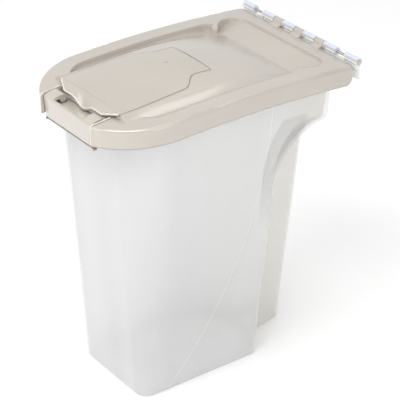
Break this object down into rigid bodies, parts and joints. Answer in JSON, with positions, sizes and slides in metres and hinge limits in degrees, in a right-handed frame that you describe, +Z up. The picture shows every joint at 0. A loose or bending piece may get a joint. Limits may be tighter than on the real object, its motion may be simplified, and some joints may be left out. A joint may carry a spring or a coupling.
{
  "type": "pet food dispenser",
  "caption": "Tall translucent tapering tub for dry pet food, with a hand-grip spine at the rear, a hinged arched lid, a T-shaped flip door for pouring and a front latch.",
  "frame": {"origin": "middle of the overall footprint, on the surface that the tub stands on", "axes": "+Z up; -Y towards the latch (front); +Y towards the hinge (rear); +X to the right seen from the front"},
  "size_m": [0.1662, 0.257, 0.3012],
  "materials": {
    "tub": "frosted translucent moulding",
    "hinge_pin": "plain drawn rod",
    "lid": "satin pearl moulding",
    "flip_door": "satin pearl moulding",
    "latch": "satin pearl moulding"
  },
  "bodies": {
    "tub": {"tub": "tub", "hinge_pin": "hinge_pin"},
    "lid": {"lid": "lid"},
    "flip_door": {"flip_door": "flip_door"},
    "latch": {"latch": "latch"}
  },
  "joints": [
    {"name": "lid_hinge", "type": "hinge", "parent": "tub", "child": "lid", "pos_m": [0, 0.12499, 0.2915], "axis": [-1, 0, 0], "range_deg": [0, 115]},
    {"name": "door_hinge", "type": "hinge", "parent": "lid", "child": "flip_door", "pos_m": [0, -0.00391, 0.2961], "axis": [-1, 0, 0], "range_deg": [0, 105]},
    {"name": "latch_hinge", "type": "hinge", "parent": "lid", "child": "latch", "pos_m": [0, -0.11496, 0.2843], "axis": [-1, 0, 0], "range_deg": [0, 100]}
  ]
}
